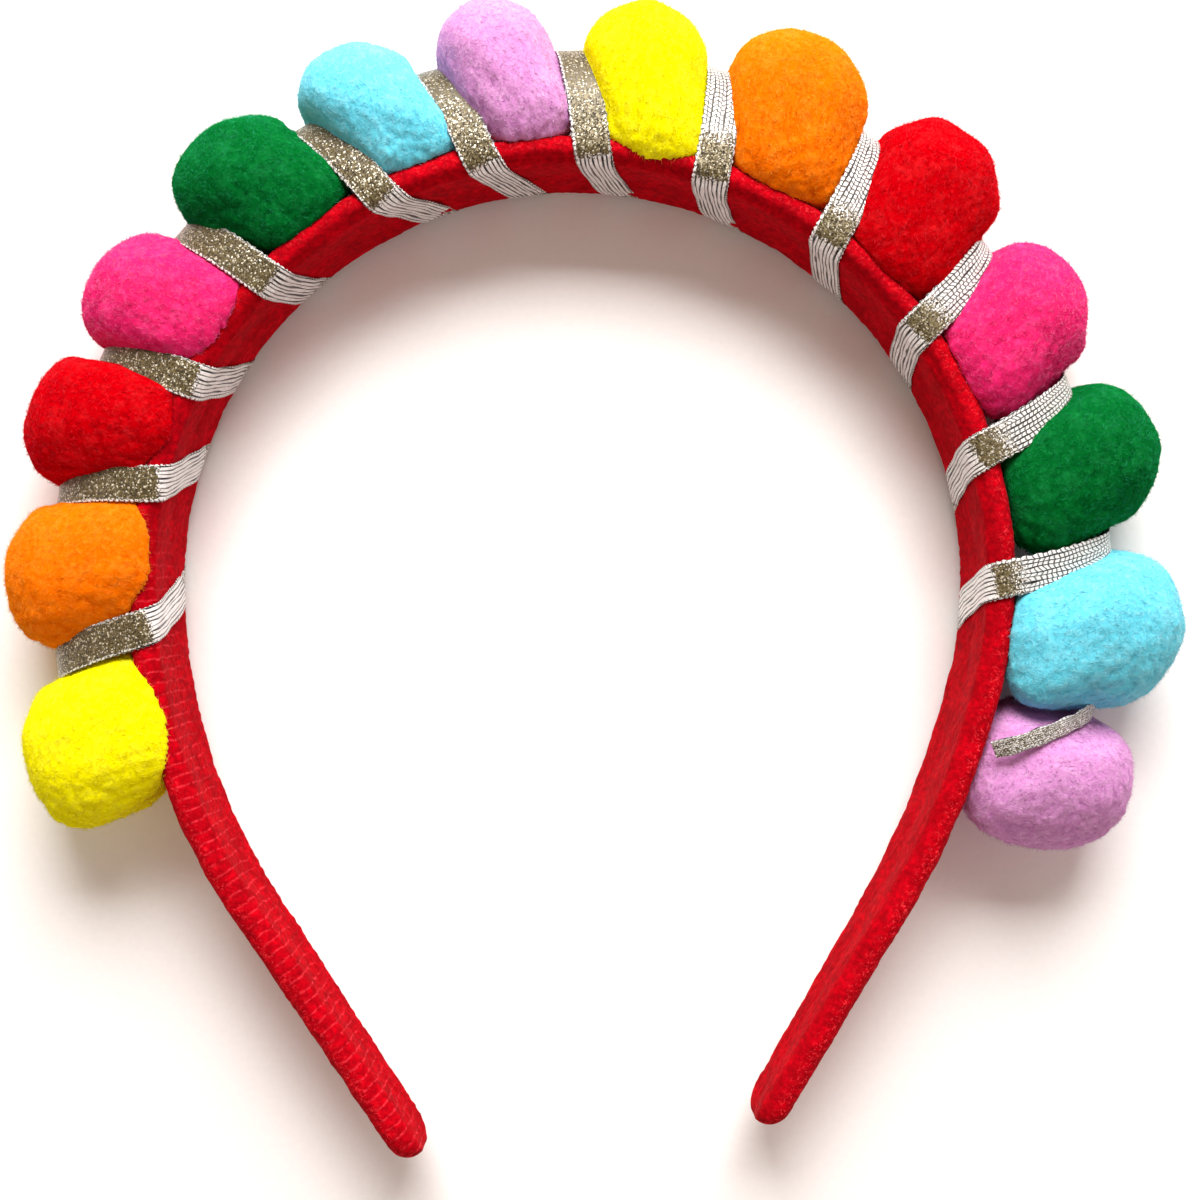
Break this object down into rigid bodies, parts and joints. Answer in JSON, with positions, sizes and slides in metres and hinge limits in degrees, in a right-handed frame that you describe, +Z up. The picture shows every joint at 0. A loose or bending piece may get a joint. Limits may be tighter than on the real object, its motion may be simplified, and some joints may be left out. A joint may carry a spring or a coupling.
{
  "type": "pompom headband",
  "caption": "Velvet-covered arched headband edged with soft round pompoms, held by a narrow metallic ribbon wound spirally between them.",
  "frame": {"origin": "bottom centre of the part's box, on the surface that it lies on", "axes": "+Z up off the surface, across the band's width; +Y from the leg tips towards the crown; +X towards the right-hand leg in the picture"},
  "size_m": [0.1942, 0.1926, 0.0247],
  "materials": {
    "velvet_red": "matte",
    "ribbon_silver": "metallic woven",
    "pompom_yellow": "matte pile",
    "pompom_orange": "matte pile",
    "pompom_red": "matte pile",
    "pompom_pink": "matte pile",
    "pompom_green": "matte pile",
    "pompom_cyan": "matte pile",
    "pompom_lilac": "matte pile"
  },
  "bodies": {
    "root": {"velvet_band": "velvet_red", "silver_ribbon": "ribbon_silver", "pompom_01_yellow": "pompom_yellow", "pompom_02_orange": "pompom_orange", "pompom_03_red": "pompom_red", "pompom_04_pink": "pompom_pink", "pompom_05_green": "pompom_green", "pompom_06_cyan": "pompom_cyan", "pompom_07_lilac": "pompom_lilac", "pompom_08_yellow": "pompom_yellow", "pompom_09_orange": "pompom_orange", "pompom_10_red": "pompom_red", "pompom_11_pink": "pompom_pink", "pompom_12_green": "pompom_green", "pompom_13_cyan": "pompom_cyan", "pompom_14_lilac": "pompom_lilac"}
  },
  "joints": []
}
